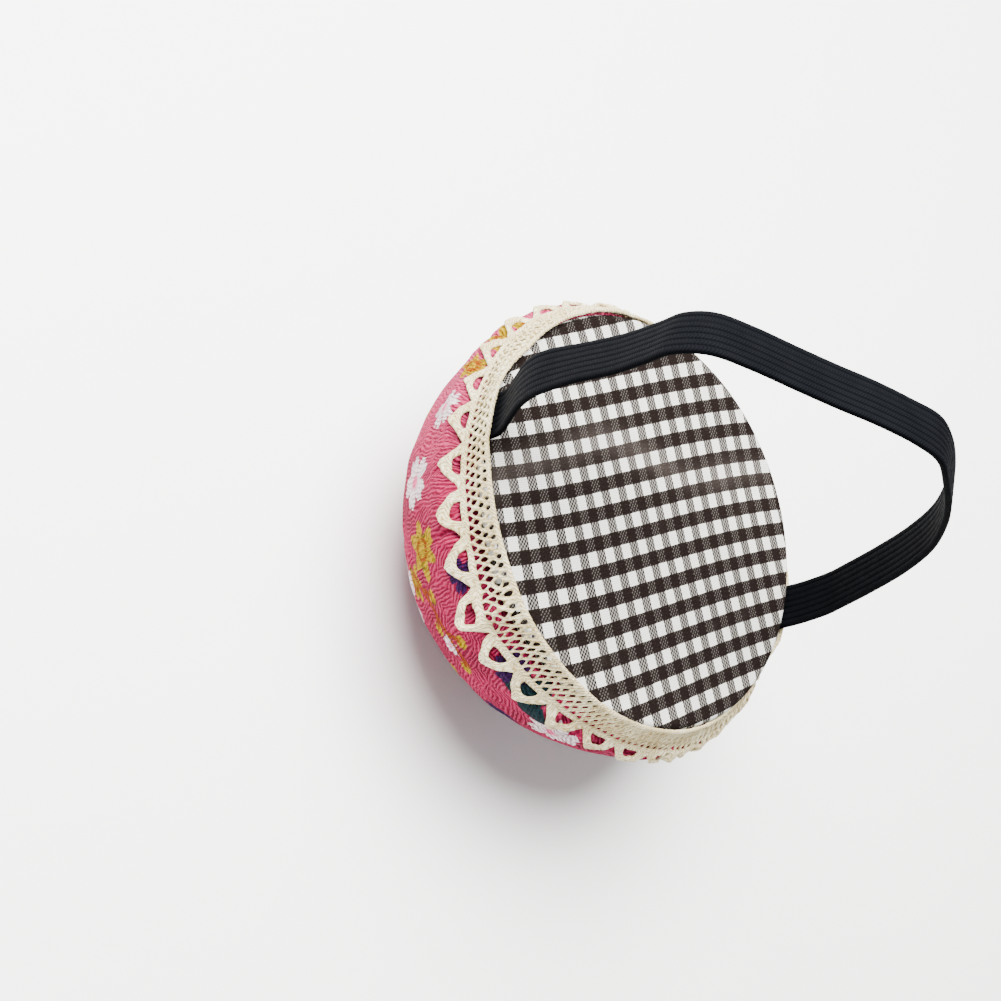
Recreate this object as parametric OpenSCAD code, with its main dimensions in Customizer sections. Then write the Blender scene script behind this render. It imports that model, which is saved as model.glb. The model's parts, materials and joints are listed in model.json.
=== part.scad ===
// Wrist pin cushion: a stuffed crepe dome on a round, cloth-covered base,
// edged with cotton lace and worn on the wrist with a flat elastic loop.
// It stands on the top of its dome, so the face that lies on the wrist looks up (+Z).
// The origin is the middle of the small patch that the dome rests on.
// X runs through the two places where the elastic leaves the base.

/* [Base] */
// Diameter of the cloth-covered base disc
base_d = 68; // [62:1:74]
// Thickness of the stiff card inside the base
board_t = 2.1; // [1.6:0.1:2.8]
// Thickness of the checked cotton cloth around the card
base_cloth_t = 0.45; // [0.3:0.05:0.6]
// Width of the hem that is gathered in behind the card
hem_w = 10; // [8:0.5:14]

/* [Dome] */
// How far the dome swells out past the base, on each side
dome_swell = 3; // [2:0.5:4]
// Height of the dome, from the patch it rests on up to its widest ring
dome_h = 32; // [26:1:36]
// Height of the shoulder, from the widest ring up to the seam with the base
shoulder_h = 1.8; // [1.4:0.2:2.6]
// Thickness of the crepe cover
cover_t = 0.8; // [0.6:0.1:1]
// Radius of the drawn-up opening in the back of the cover
gather_r = 12; // [8:1:16]

/* [Glue] */
// Thickness of the glue between the cover and the base
glue_t = 1.2; // [1.2:0.1:1.6]

/* [Elastic] */
// Width of the flat elastic
strap_w = 8; // [6:1:9]
// Thickness of the flat elastic
strap_t = 1.1; // [1:0.05:1.15]
// Height of the standing loop above the face of the base
loop_h = 55; // [46:1:64]
// Number of rubber strands woven into the elastic
strand_n = 7; // [5:1:7]
// Length of each glued end of the elastic, measured inwards from the rim
tab_l = 12; // [8:1:15]

/* [Lace] */
// Height of the plain edge of the lace above the face, where it stands highest
lace_top = 3; // [2:0.5:4]
// Width of the lace below the face, half way round
lace_drop = 9.8; // [8:0.2:11]
// Thickness of the lace
lace_t = 0.45; // [0.35:0.05:0.5]
// Number of scallops along the edge of the lace
scallop_n = 31; // [26:1:34]

/* [Hidden] */
$fn = 96;

// Small gap between soft pieces of one body
gap = 0.05;
// Larger than any piece, for the solids that cut pieces off
big = 200;

// Heights, from the floor up
seam_z = dome_h + shoulder_h;
glue_top_z = seam_z + glue_t;
base_t = board_t + 2 * base_cloth_t;
face_z = glue_top_z + base_t;

// Base
base_r = base_d / 2;
board_r = base_r - base_cloth_t;
board_z = glue_top_z + base_cloth_t;
hem_r = base_r - hem_w;
rim_round = 1.1;
base_thread_z = glue_top_z + base_cloth_t / 2;

// Sewing thread that draws up both cloths
thread_r = 0.15;
knot_r = 0.25;

// Dome: its lower half is an ellipse, cut off flat where it rests
dome_r = base_r + dome_swell;
dome_b = dome_h + 1;
dome_step = 3;

// Elastic
core_t = 0.5;
pocket_t = 0.6;
selvage_w = 0.6;
strand_gap = 0.12;
strand_w = (strap_w - 2 * selvage_w - strand_gap) / strand_n - strand_gap;
hinge_z = face_z + 4;
knuckle_r = strap_w / 2 + 0.85;
knuckle_gap = 0.15;
loop_cut_z = face_z + 18;
tab_z = seam_z + glue_t / 2;
strap_out = 0.8;
strap_bend = 1.9;

// Base radius and loop height that the points of the route were chosen for
route_r = 34;
route_h = 55;
// Route of the elastic above the face, [x, height above the face], from the left root
// up round the loop and down to the right root
loop_route = [
    [-34.8, 1], [-34.85, 3], [-35.6, 5.2], [-37.2, 8.5], [-38.9, 12.5], [-39.5, 17],
    [-38.4, 24], [-37.2, 30], [-36.8, 36], [-36.6, 41], [-34, 45], [-28.5, 47.3],
    [-22, 49.1], [-15.5, 51], [-9.4, 53], [-3.2, 54.4], [2, 54.8], [7, 52.7],
    [13.4, 48.5], [18.4, 44], [23.2, 38], [27.2, 30], [30.4, 21], [32.8, 13],
    [33.9, 9], [34.6, 4], [34.8, 1]
];
route_steps = 3;

// Lace: it sits a little askew, highest towards this direction
lace_dir = -136;
lace_r = base_r + 1.9;
lace_top_tilt = atan(lace_top / lace_r);
lace_low_tilt = 3.5;
notch_r = 2.2;
// Section of the lace, [radius past the base, height above the face]
lace_route = [
    [1.9, 5], [1.9, 1], [1.9, -2.6], [2.2, -4], [2.9, -5.1], [3.5, -6.4],
    [3.6, -8], [3.3, -10], [2.8, -13], [2.0, -16]
];
// Outer surface of the lace at its widest, where a dab of glue closes the ring
lace_widest_r = base_r + 3.6 + lace_t / 2;
dab_dir = 60;
dab_r = 1.6;
dab_h = 0.8;

// ---------- curves ----------

// Point at s, 0 to 1, between b and c on a Catmull-Rom curve through a, b, c and d
function spline_point(a, b, c, d, s) =
    0.5 * (2 * b + (c - a) * s + (2 * a - 5 * b + 4 * c - d) * s * s
        + (3 * b - a - 3 * c + d) * s * s * s);

// A smooth curve through every point of the route
function smooth(route, steps) = [
    for (i = [0 : len(route) - 2], k = [0 : steps - 1])
        spline_point(
            route[max(i - 1, 0)], route[i],
            route[i + 1], route[min(i + 2, len(route) - 1)], k / steps),
    route[len(route) - 1]
];

function unit(v) = v / norm(v);

// Direction of a line at its point i
function heading(line, i) =
    unit(line[min(i + 1, len(line) - 1)] - line[max(i - 1, 0)]);

// The line shifted sideways by d
function shifted(line, d) = [
    for (i = [0 : len(line) - 1])
        line[i] + d * [-heading(line, i)[1], heading(line, i)[0]]
];

function backwards(line) = [for (i = [len(line) - 1 : -1 : 0]) line[i]];

// A bend about a centre, from one angle to another
function bend(centre, r, from, to) = [
    for (a = [from : (to - from) / 5 : to]) centre + r * [cos(a), sin(a)]
];

// A flat band of thickness t along a line
module band(line, t) {
    polygon(concat(shifted(line, t / 2), backwards(shifted(line, -t / 2))));
}

// ---------- dome ----------

// Half outline of the dome, set in from its outer surface by d
function dome_outline(d) = [
    for (a = [90 : -dome_step : 0])
        if (dome_b * sin(a) <= dome_h) [
            (dome_r - d) * cos(a),
            dome_h - (dome_b - d) * sin(a)
        ],
    for (a = [15 : 15 : 90]) [
        base_r - d + dome_swell * cos(a),
        dome_h + (shoulder_h - d) * sin(a)
    ]
];

// Radius of the flat patch at the bottom of an outline set in by d
function patch_r(d) = (dome_r - d) * sqrt(1 - pow((dome_h - d) / (dome_b - d), 2));

module dome_solid(d) {
    rotate_extrude()
        polygon(concat([[0, d], [patch_r(d), d]], dome_outline(d), [[0, seam_z - d]]));
}

module cushion_cover() {
    color("hotpink")
        difference() {
            dome_solid(0);
            dome_solid(cover_t);
            translate([0, 0, dome_h]) cylinder(h = big, r = gather_r);
        }
}

module cushion_filling() {
    color("ivory") dome_solid(cover_t + gap);
}

// A drawn-up ring of thread that lies inside an opening of radius r, with its two ends
// knotted together
module gather_thread(r, z) {
    ring_r = r - knot_r - gap;
    half_knot = asin((knot_r + gap / 2) / ring_r);
    translate([0, 0, z]) {
        rotate([0, 0, half_knot])
            rotate_extrude(angle = 360 - 2 * half_knot)
                translate([ring_r, 0]) circle(r = thread_r, $fn = 24);
        translate([ring_r, 0, 0]) sphere(r = knot_r, $fn = 32);
    }
}

module cover_gather_thread() {
    color("white") gather_thread(gather_r, seam_z - cover_t / 2);
}

// ---------- base ----------

// Room for the knot of the base's gathering thread
module knot_room() {
    translate([hem_r - knot_r - gap, 0, base_thread_z]) sphere(r = knot_r + gap, $fn = 32);
}

module glue_layer() {
    glue_r = base_r - 1.5;
    color("gainsboro")
        difference() {
            translate([0, 0, seam_z]) cylinder(h = glue_t, r = glue_r);
            for (side = [-1, 1])
                translate([side * (base_r - tab_l / 2), 0, tab_z])
                    cube([tab_l + 4 * gap, strap_w + 4 * gap, 2 * glue_t], center = true);
            knot_room();
        }
}

// A disc with a rounded rim
module round_disc(r, z, h, round_r) {
    translate([0, 0, z])
        rotate_extrude()
            polygon(concat(
                [[0, 0]],
                bend([r - round_r, round_r], round_r, -90, 0),
                bend([r - round_r, h - round_r], round_r, 0, 90),
                [[0, h]]));
}

module base_board() {
    color("burlywood") round_disc(board_r, board_z, board_t, rim_round - base_cloth_t);
}

module base_cover() {
    color("saddlebrown")
        difference() {
            round_disc(base_r, glue_top_z, base_t, rim_round);
            round_disc(board_r, board_z, board_t, rim_round - base_cloth_t);
            translate([0, 0, glue_top_z - 1]) cylinder(h = 2, r = hem_r);
        }
}

module base_gather_thread() {
    color("white") gather_thread(hem_r, base_thread_z);
}

// ---------- lace ----------

// The space above or below a plane that leans towards the lace's high side
module leaning_space(z, tilt, up) {
    translate([0, 0, z])
        rotate([0, 0, lace_dir])
            rotate([0, -tilt, 0])
                translate([0, 0, up ? big / 2 : -big / 2])
                    cube([big, big, big], center = true);
}

// Gaps between the scallops, along the leaning lower edge
module scallop_notches() {
    translate([0, 0, face_z - lace_drop])
        rotate([0, 0, lace_dir])
            rotate([0, -lace_low_tilt, 0])
                for (i = [0 : scallop_n - 1])
                    rotate([0, 90, i * 360 / scallop_n])
                        translate([0, 0, base_r - 10])
                            cylinder(h = 20, r = notch_r, $fn = 24);
}

module lace_trim() {
    line = [for (p = smooth(lace_route, 2)) [base_r + p[0], face_z + p[1]]];
    color("cornsilk")
        difference() {
            rotate_extrude() band(line, lace_t);
            leaning_space(face_z, lace_top_tilt, true);
            leaning_space(face_z - lace_drop, lace_low_tilt, false);
            scallop_notches();
        }
}

// A flat-backed drop on the outside of the lace
module lace_glue_dab() {
    color("whitesmoke")
        rotate([0, 0, dab_dir])
            translate([lace_widest_r + gap, 0, face_z - 8])
                rotate([0, 90, 0])
                    rotate_extrude()
                        polygon([
                            for (a = [0 : 15 : 90]) [dab_r * cos(a), dab_h * sin(a)],
                            [0, 0]
                        ]);
}

// ---------- elastic ----------

// One glued end and the bend round the rim, for the left side (-1) or the right (1)
function strap_root(side) =
    let (x = base_r + strap_out, c = [x - strap_bend, tab_z + strap_bend])
    concat(
        [[side * (base_r - tab_l), tab_z]],
        [for (a = [-90 : 22.5 : 0]) [
            side * (c[0] + strap_bend * cos(a)),
            c[1] + strap_bend * sin(a)
        ]]);

// Centre line of the whole elastic, in the plane of the loop
strap_line = concat(
    strap_root(-1),
    [for (p = smooth(loop_route, route_steps))
        [p[0] * base_r / route_r, face_z + p[1] * (p[1] > 4 ? loop_h / route_h : 1)]],
    backwards(strap_root(1)));

// A strip of the elastic's thickness t from y = from to y = to, standing in the XZ plane
module strip(t, from, to) {
    translate([0, to, 0])
        rotate([90, 0, 0])
            linear_extrude(height = to - from)
                band(strap_line, t);
}

// The whole woven jacket, hollow for its strands
module jacket() {
    pocket = strap_w / 2 - selvage_w;
    difference() {
        strip(strap_t, -strap_w / 2, strap_w / 2);
        strip(pocket_t, -pocket, pocket);
    }
}

// All rubber strands at their full length, side by side
module strands() {
    first = -strap_w / 2 + selvage_w + strand_gap;
    for (i = [0 : strand_n - 1])
        strip(core_t, first + i * (strand_w + strand_gap),
            first + i * (strand_w + strand_gap) + strand_w);
}

// The round space about the hinge line of the loop
module knuckle(r) {
    translate([-big / 2, 0, hinge_z])
        rotate([0, 90, 0])
            cylinder(h = big, r = r);
}

// Everything on one side of the loop's middle, from z = low to z = high
module half_space(side, low, high) {
    translate([side > 0 ? 0 : -big / 2, -big / 4, low])
        cube([big / 2, big / 2, high - low]);
}

module strap_end(side) {
    intersection() {
        children();
        half_space(side, 0, hinge_z + knuckle_r);
        union() {
            half_space(side, 0, hinge_z);
            knuckle(knuckle_r);
        }
    }
}

module strap_leg(side) {
    difference() {
        intersection() {
            children();
            half_space(side, hinge_z, loop_cut_z);
        }
        knuckle(knuckle_r + knuckle_gap);
    }
}

module above_cut() {
    intersection() {
        children();
        translate([-big / 2, -big / 4, loop_cut_z]) cube([big, big / 2, big]);
    }
}

module strap_end_left() { color("#1c2028") strap_end(-1) jacket(); }
module strap_end_right() { color("#1c2028") strap_end(1) jacket(); }
module strap_leg_left() { color("#1c2028") strap_leg(-1) jacket(); }
module strap_leg_right() { color("#1c2028") strap_leg(1) jacket(); }
module strap_loop() { color("#1c2028") above_cut() jacket(); }

module end_strands() {
    color("dimgray")
        for (side = [-1, 1]) strap_end(side) strands();
}

module leg_strands() {
    color("dimgray")
        for (side = [-1, 1]) strap_leg(side) strands();
}

module loop_strands() { color("dimgray") above_cut() strands(); }

cushion_cover();
cushion_filling();
cover_gather_thread();
glue_layer();
base_board();
base_cover();
base_gather_thread();
lace_trim();
lace_glue_dab();
strap_end_left();
strap_end_right();
strap_leg_left();
strap_leg_right();
strap_loop();
end_strands();
leg_strands();
loop_strands();
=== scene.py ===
import json
import math

import bpy
import numpy as np
from mathutils import Matrix, Vector


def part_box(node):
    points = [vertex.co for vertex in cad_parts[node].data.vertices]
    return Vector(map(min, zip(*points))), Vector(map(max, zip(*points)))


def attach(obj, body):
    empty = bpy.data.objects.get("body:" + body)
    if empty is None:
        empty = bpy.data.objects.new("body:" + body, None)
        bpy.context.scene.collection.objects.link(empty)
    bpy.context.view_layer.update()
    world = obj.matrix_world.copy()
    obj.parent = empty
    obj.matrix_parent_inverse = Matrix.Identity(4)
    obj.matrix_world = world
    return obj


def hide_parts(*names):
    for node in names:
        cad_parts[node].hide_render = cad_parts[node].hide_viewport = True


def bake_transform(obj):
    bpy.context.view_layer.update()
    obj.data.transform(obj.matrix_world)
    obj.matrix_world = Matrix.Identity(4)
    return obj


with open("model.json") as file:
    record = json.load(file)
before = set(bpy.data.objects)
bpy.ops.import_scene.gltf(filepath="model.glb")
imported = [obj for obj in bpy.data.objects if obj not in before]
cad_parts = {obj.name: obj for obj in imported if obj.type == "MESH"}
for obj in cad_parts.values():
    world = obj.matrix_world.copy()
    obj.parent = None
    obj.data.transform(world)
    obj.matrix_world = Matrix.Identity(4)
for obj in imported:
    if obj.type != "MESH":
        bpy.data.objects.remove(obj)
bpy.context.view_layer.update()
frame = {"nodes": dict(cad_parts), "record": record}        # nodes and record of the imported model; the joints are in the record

# All shapes are worked out in millimetres and scaled once, when their mesh is made.
MM = 0.001
TURN = 2 * math.pi


def corners(node):
    """Lowest and highest corner of a CAD node, in millimetres."""
    return [[v / MM for v in corner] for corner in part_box(node)]


# ---------- sizes, from the frame ----------

(_, _, GLUE_TOP), (BASE_R, _, FACE_Z) = corners("base_cover")
_, (DOME_R, _, SEAM_Z) = corners("cushion_cover")
(_, _, BOARD_LOW), (_, _, BOARD_TOP) = corners("base_board")
(_, STRAP_LOW_Y, LOOP_CUT), (_, STRAP_HIGH_Y, _) = corners("strap_loop")
STRAP_W = STRAP_HIGH_Y - STRAP_LOW_Y
JOINTS = {joint["name"]: joint for joint in frame["record"]["behaviour"]["joints"]}
HINGE_Z = JOINTS["strap_swing"]["pos_m"][2] / MM

# Height of the shoulder over the dome's widest ring, height of that ring, and half height of the
# ellipse below it, which the flat patch cuts off
SHOULDER_H = 1.8
DOME_H = SEAM_Z - SHOULDER_H
DOME_B = DOME_H + 1
# A point inside the dome that the inner side of its cloth faces
DOME_MIDDLE = np.array([0, 0, DOME_H * 0.62])
# Openings left by the drawn-up back of the cover and by the hem of the checked cloth
GATHER_R = 12
HEM_R = 24
COVER_T = 0.8
RIM_ROUND = 1.1
CLOTH_T = FACE_Z - BOARD_TOP
SCALLOPS = 31


# ---------- small tools ----------

def smoothstep(x):
    """From 0 to 1, easing in and out."""
    x = np.clip(x, 0, 1)
    return x * x * (3 - 2 * x)


def noise(u, v, seed, period=256):
    """Smooth noise from -1 to 1 with one value per unit step, repeating along u after period steps."""
    table = np.random.default_rng(seed).uniform(-1, 1, (256, 256))
    iu, iv = np.floor(u).astype(int), np.floor(v).astype(int)
    su, sv = smoothstep(u - iu), smoothstep(v - iv)

    def at(a, b):
        return table[(a % period) % 256, b % 256]

    low = at(iu, iv) * (1 - su) + at(iu + 1, iv) * su
    high = at(iu, iv + 1) * (1 - su) + at(iu + 1, iv + 1) * su
    return low * (1 - sv) + high * sv


def ring_noise(angle, along, seed, count):
    """Smooth noise round the Z axis, with count values to a full turn."""
    return noise(angle / TURN * count, along, seed, count)


def resampled(line, step):
    """The polyline with points every step along it, and their distances from its start."""
    line = np.array(line, float)
    lengths = np.concatenate([[0], np.cumsum(np.linalg.norm(np.diff(line, axis=0), axis=1))])
    at = np.linspace(0, lengths[-1], max(2, round(lengths[-1] / step) + 1))
    return np.stack([np.interp(at, lengths, line[:, k]) for k in range(line.shape[1])], 1), at


def smooth_route(points, steps=12):
    """A Catmull-Rom curve through the points."""
    points = np.array(points, float)
    out = []
    for i in range(len(points) - 1):
        a, b = points[max(i - 1, 0)], points[i]
        c, d = points[i + 1], points[min(i + 2, len(points) - 1)]
        for s in np.arange(steps) / steps:
            out.append(0.5 * (2 * b + (c - a) * s + (2 * a - 5 * b + 4 * c - d) * s**2
                              + (3 * b - a - 3 * c + d) * s**3))
    out.append(points[-1])
    return np.array(out)


def arc(centre, r, start, end, steps):
    """Points of a round bend, angles in degrees."""
    angles = np.radians(np.linspace(start, end, steps + 1))
    return [(centre[0] + r * math.cos(a), centre[1] + r * math.sin(a)) for a in angles]


def grid_faces(rows, cols, wrap):
    """Quads between the points of a grid, with its last column joined to its first if wrap."""
    last = cols if wrap else cols - 1
    i, j = np.meshgrid(np.arange(rows - 1), np.arange(last), indexing="ij")
    k = (j + 1) % cols
    return np.stack([i * cols + j, i * cols + k, (i + 1) * cols + k, (i + 1) * cols + j], -1).reshape(-1, 4)


def unit(vectors):
    """The vectors brought to length one."""
    return vectors / np.linalg.norm(vectors, axis=-1, keepdims=True)


def outward(angle):
    """The level directions away from the Z axis at every angle."""
    return np.stack([np.cos(angle), np.sin(angle), 0 * angle], -1)


def revolved(section, angle):
    """A grid of rings: a section of radius and height, turned to every angle."""
    grid = section[:, 0, None, None] * outward(angle)
    grid[..., 2] = section[:, 1, None]
    return grid


def closed_rings(grid, first, last):
    """Points and faces of a grid of rings that ends in one point beyond its first and its last ring."""
    rows, cols = grid.shape[:2]
    points = np.vstack([grid.reshape(-1, 3), [first, last]])
    faces = grid_faces(rows, cols, True).tolist()
    tip, ring = rows * cols, (rows - 1) * cols
    faces += [[tip, (j + 1) % cols, j] for j in range(cols)]
    faces += [[tip + 1, ring + j, ring + (j + 1) % cols] for j in range(cols)]
    return points, faces


def turned_axes(x, y, angle):
    """The place x, y as seen from axes turned by the angle."""
    c, d = math.cos(angle), math.sin(angle)
    return x * c + y * d, y * c - x * d


def new_mesh(name, points, faces, smooth=True):
    """A mesh object from points in millimetres."""
    mesh = bpy.data.meshes.new(name)
    mesh.from_pydata((np.asarray(points) * MM).tolist(), [], [list(f) for f in faces])
    mesh.validate()
    mesh.polygons.foreach_set("use_smooth", [smooth] * len(mesh.polygons))
    mesh.update()
    obj = bpy.data.objects.new(name, mesh)
    bpy.context.scene.collection.objects.link(obj)
    return obj


def set_field(obj, name, values):
    """Keeps a number or a vector per point, for the material to read."""
    values = np.asarray(values, dtype=np.float32)
    kind = "FLOAT" if values.ndim == 1 else "FLOAT_VECTOR"
    layer = obj.data.attributes.new(name, kind, "POINT")
    layer.data.foreach_set("value" if values.ndim == 1 else "vector", values.ravel())


def finish_piece(obj, body, slot, material, *nodes):
    """Gives a piece its material, puts it on its body when one is named, else leaves it in place, and hides the
    nodes it replaces; the slot is not used.
    """
    obj.data.materials.append(material)
    if isinstance(body, str):
        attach(obj, body)
    else:
        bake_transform(obj)
    if nodes:
        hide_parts(*nodes)


# ---------- materials ----------

class Shader:
    """A material whose nodes are added one call at a time."""

    def __init__(self, name, roughness=0.8, sheen=0.0, **uniform):
        self.material = bpy.data.materials.new(name)
        self.material.use_nodes = True
        self.tree = self.material.node_tree
        self.surface = self.tree.nodes["Principled BSDF"]
        self.surface.inputs["Roughness"].default_value = roughness
        self.surface.inputs["Sheen Weight"].default_value = sheen
        for socket, value in uniform.items():
            self.surface.inputs[socket.replace("_", " ")].default_value = value

    def add(self, kind, **settings):
        node = self.tree.nodes.new(kind)
        for key, value in settings.items():
            setattr(node, key, value)
        return node

    def put(self, socket, value):
        """Links a socket or sets its number."""
        if isinstance(value, bpy.types.NodeSocket):
            self.tree.links.new(value, socket)
        else:
            socket.default_value = value

    def math(self, operation, *values):
        node = self.add("ShaderNodeMath", operation=operation)
        for socket, value in zip(node.inputs, values):
            self.put(socket, value)
        return node.outputs[0]

    def plus(self, a, b):
        return self.math("ADD", a, b)

    def minus(self, a, b):
        return self.math("SUBTRACT", a, b)

    def times(self, a, b):
        return self.math("MULTIPLY", a, b)

    def between(self, a, b, share):
        """The number a where share is 0, going over to b where it is 1."""
        return self.plus(self.times(a, self.minus(1.0, share)), self.times(b, share))

    def field(self, name, output="Fac"):
        return self.add("ShaderNodeAttribute", attribute_name=name).outputs[output]

    def place(self):
        """Where a point is on the object, in millimetres."""
        coords = self.add("ShaderNodeTexCoord").outputs["Object"]
        return self.scaled(coords, 1 / MM)

    def turned(self, vector, degrees):
        node = self.add("ShaderNodeVectorRotate", rotation_type="Z_AXIS")
        self.put(node.inputs["Vector"], vector)
        node.inputs["Angle"].default_value = math.radians(degrees)
        return node.outputs[0]

    def scaled(self, vector, x, y=None, z=None):
        node = self.add("ShaderNodeVectorMath", operation="MULTIPLY")
        self.put(node.inputs[0], vector)
        node.inputs[1].default_value = (x, x if y is None else y, x if z is None else z)
        return node.outputs[0]

    def split(self, vector):
        node = self.add("ShaderNodeSeparateXYZ")
        self.put(node.inputs[0], vector)
        return node.outputs

    def join(self, x, y):
        node = self.add("ShaderNodeCombineXYZ")
        for socket, value in zip(node.inputs, (x, y)):
            self.put(socket, value)
        return node.outputs[0]

    def noise(self, vector, scale, detail=3.0, roughness=0.55):
        node = self.add("ShaderNodeTexNoise")
        self.put(node.inputs["Vector"], vector)
        node.inputs["Scale"].default_value = scale
        node.inputs["Detail"].default_value = detail
        node.inputs["Roughness"].default_value = roughness
        return node.outputs["Fac"]

    def wave(self, vector, scale, distortion, detail=2.0, detail_scale=1.0, direction="Y"):
        node = self.add("ShaderNodeTexWave", wave_type="BANDS", bands_direction=direction)
        self.put(node.inputs["Vector"], vector)
        for socket, value in (("Scale", scale), ("Distortion", distortion),
                              ("Detail", detail), ("Detail Scale", detail_scale)):
            node.inputs[socket].default_value = value
        return node.outputs["Fac"]

    def remap(self, value, low, high, to_low=0.0, to_high=1.0):
        """The value taken from one range to another, easing in and out."""
        node = self.add("ShaderNodeMapRange", interpolation_type="SMOOTHSTEP")
        self.put(node.inputs["Value"], value)
        for socket, number in (("From Min", low), ("From Max", high),
                               ("To Min", to_low), ("To Max", to_high)):
            node.inputs[socket].default_value = number
        return node.outputs[0]

    def mix(self, factor, a, b, blend="MIX"):
        """A colour between a and b, or a tinted by b."""
        node = self.add("ShaderNodeMix", data_type="RGBA", blend_type=blend)
        self.put(node.inputs["Factor"], factor)
        for socket, colour in ((node.inputs[6], a), (node.inputs[7], b)):
            self.put(socket, colour if isinstance(colour, bpy.types.NodeSocket) else (*colour, 1))
        return node.outputs[2]

    def colour(self, value):
        self.put(self.surface.inputs["Base Color"], value)

    def roughness(self, value):
        self.put(self.surface.inputs["Roughness"], value)

    def bump(self, height, distance_mm, strength=1.0):
        """Adds a bump whose height of 1 stands distance_mm proud."""
        node = self.add("ShaderNodeBump")
        node.inputs["Strength"].default_value = strength
        node.inputs["Distance"].default_value = distance_mm * MM
        self.put(node.inputs["Height"], height)
        self.tree.links.new(node.outputs[0], self.surface.inputs["Normal"])


# Colour multiplied into the crepe's grooves as painted shade
GROOVE_SHADE = (0.36, 0.18, 0.26)
ROSE = (0.18, 0.0035, 0.027)
PINK = (0.29, 0.0095, 0.053)
PALE_PINK = (0.60, 0.095, 0.20)
PETAL_WHITE = (0.62, 0.52, 0.54)
YELLOW = (0.31, 0.20, 0.0)
OLIVE = (0.11, 0.08, 0.003)
RUST = (0.19, 0.034, 0.002)
TEAL = (0.006, 0.019, 0.023)
PURPLE = (0.022, 0.005, 0.040)


def crepe_material():
    """Printed crepe: short wavy ridges, with the print soaked a little into the grain, painted shade in the
    grooves, painted highlight on the crests and painted light on the side towards the key light.
    """
    s = Shader("printed_crepe", roughness=0.9, Specular_IOR_Level=0.04)
    cloth = s.field("cloth", "Vector")
    fine = s.noise(s.scaled(cloth, 0.8, 2.0, 1.0), 1.7, 4.0, 0.6)
    broad = s.noise(cloth, 0.07, 2.0)
    one_way = s.wave(cloth, 0.36, 9.0, 3.0, 0.85)
    other_way = s.wave(s.turned(cloth, 48.0), 0.38, 9.0, 3.0, 0.9)
    swap = s.remap(s.noise(cloth, 0.22, 2.0), 0.47, 0.60)
    ridges = s.between(one_way, other_way, swap)
    grain = s.minus(fine, 0.5)
    dyed = s.mix(s.remap(broad, 0.38, 0.66), ROSE, PINK)
    # Painted light: the crepe is made paler on the side that faces the key light
    light = s.plus(s.field("light"), s.times(grain, 0.9))
    dyed = s.mix(s.remap(light, 0.5, 1.7), dyed, PALE_PINK)
    relief = s.plus(s.times(ridges, 0.6), s.times(fine, 0.8))
    # Painted highlight: the crests of the ridges are made paler
    dyed = s.mix(s.remap(relief, 0.66, 1.05, 0.0, 0.3), dyed, PALE_PINK)
    blot = s.plus(s.times(grain, 1.1), s.times(s.minus(ridges, 0.5), 0.35))

    def printed(under, name, ink, edge=0.22):
        """The ink where the field is above zero, ragged along the grain."""
        ragged = s.plus(s.field(name), blot)
        return s.mix(s.remap(ragged, -edge, edge), under, ink)

    shade = printed(dyed, "print_white", PETAL_WHITE)
    shade = printed(shade, "print_blush", PALE_PINK, 0.5)
    leafy = s.mix(s.remap(s.noise(cloth, 0.45, 3.0), 0.5, 0.68), YELLOW, OLIVE)
    shade = printed(shade, "print_yellow", leafy)
    shade = printed(shade, "print_teal", TEAL)
    shade = printed(shade, "print_purple", PURPLE)
    shade = printed(shade, "print_stem", RUST, 0.15)
    # Painted shade: the grooves between the ridges are darkened
    s.colour(s.mix(s.remap(relief, 0.68, 0.28), shade, GROOVE_SHADE, "MULTIPLY"))
    s.roughness(s.remap(fine, 0.2, 0.8, 0.8, 0.95))
    s.bump(relief, 0.55, 1.0)
    return s.material


THREADS_PER_REPEAT = 12


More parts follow.
